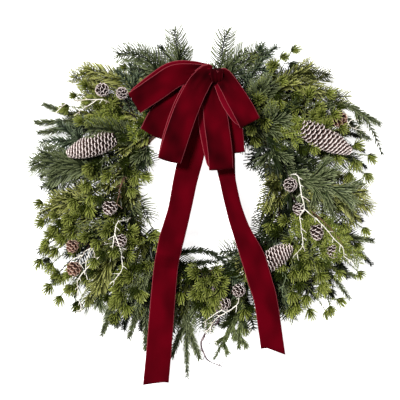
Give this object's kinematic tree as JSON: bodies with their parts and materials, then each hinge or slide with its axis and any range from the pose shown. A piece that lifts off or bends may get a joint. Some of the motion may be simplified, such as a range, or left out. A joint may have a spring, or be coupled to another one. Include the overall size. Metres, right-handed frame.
{
  "type": "pine wreath",
  "caption": "Round wreath of mixed pine sprays, cones and frosted twigs on a vine ring, with a crimson velvet bow and two long ribbon tails, lying on its back.",
  "frame": {"origin": "middle of the outline's box, on the surface that the ring's back rests on", "axes": "+Z out of the wreath's front, +Y towards its top, +X to the right as seen from the front"},
  "size_m": [0.7222, 0.7212, 0.1464],
  "materials": {
    "vine": "rough bound vine",
    "wire": "green lacquered florist's wire",
    "velvet": "short crimson velvet pile",
    "cone_scales": "dry woody scales, whitened at the tips",
    "frosted_twig": "whitened rough bark",
    "fir_needles": "matte dark green needles",
    "olive_needles": "matte olive needles",
    "blue_needles": "matte blue-green needles",
    "rope_needles": "matte dark short needles",
    "tuft_needles": "bright green needle tufts",
    "cypress_needles": "light yellow-green foliage",
    "juniper_needles": "soft grey-green needles"
  },
  "bodies": {
    "root": {"blue_left": "blue_needles", "blue_right": "blue_needles", "blue_top_right": "blue_needles", "bow_knot": "velvet", "bow_loop_centre": "velvet", "bow_loop_left": "velvet", "bow_loop_left_rear": "velvet", "bow_loop_right": "velvet", "bow_loop_right_rear": "velvet", "bow_loop_upper_left": "velvet", "bow_tie_wire": "wire", "cypress_bottom": "cypress_needles", "cypress_bottom_right": "cypress_needles", "cypress_crown_left": "cypress_needles", "cypress_crown_right": "cypress_needles", "fir_inner_left": "fir_needles", "fir_inner_right": "fir_needles", "fir_left": "fir_needles", "fir_top": "fir_needles", "fir_top_left": "fir_needles", "fir_top_right": "fir_needles", "frosted_twig_bottom": "frosted_twig", "frosted_twig_far_left": "frosted_twig", "frosted_twig_left": "frosted_twig", "frosted_twig_right": "frosted_twig", "frosted_twig_top_left": "frosted_twig", "juniper_crown_right": "juniper_needles", "juniper_left_low": "juniper_needles", "large_cone_left": "cone_scales", "large_cone_low": "cone_scales", "large_cone_right": "cone_scales", "olive_inner_right": "olive_needles", "olive_left": "olive_needles", "olive_left_top": "olive_needles", "olive_right": "olive_needles", "olive_right_top": "olive_needles", "ribbon_tail_left": "velvet", "ribbon_tail_right": "velvet", "rope_bottom": "rope_needles", "rope_bottom_left": "rope_needles", "rope_inner_bottom": "rope_needles", "rope_left_bottom": "rope_needles", "rope_left_top": "rope_needles", "rope_right_drop": "rope_needles", "rope_right_low": "rope_needles", "small_cone_right_top": "cone_scales", "small_cones_bottom": "cone_scales", "small_cones_far_left": "cone_scales", "small_cones_left": "cone_scales", "small_cones_right": "cone_scales", "small_cones_right_inner": "cone_scales", "small_cones_top_left": "cone_scales", "tuft_bottom_left": "tuft_needles", "tuft_left": "tuft_needles", "tuft_left_low": "tuft_needles", "tuft_right": "tuft_needles", "tuft_right_low": "tuft_needles", "tuft_right_top": "tuft_needles", "tuft_top_right": "tuft_needles", "vine_ring": "vine"}
  },
  "joints": []
}
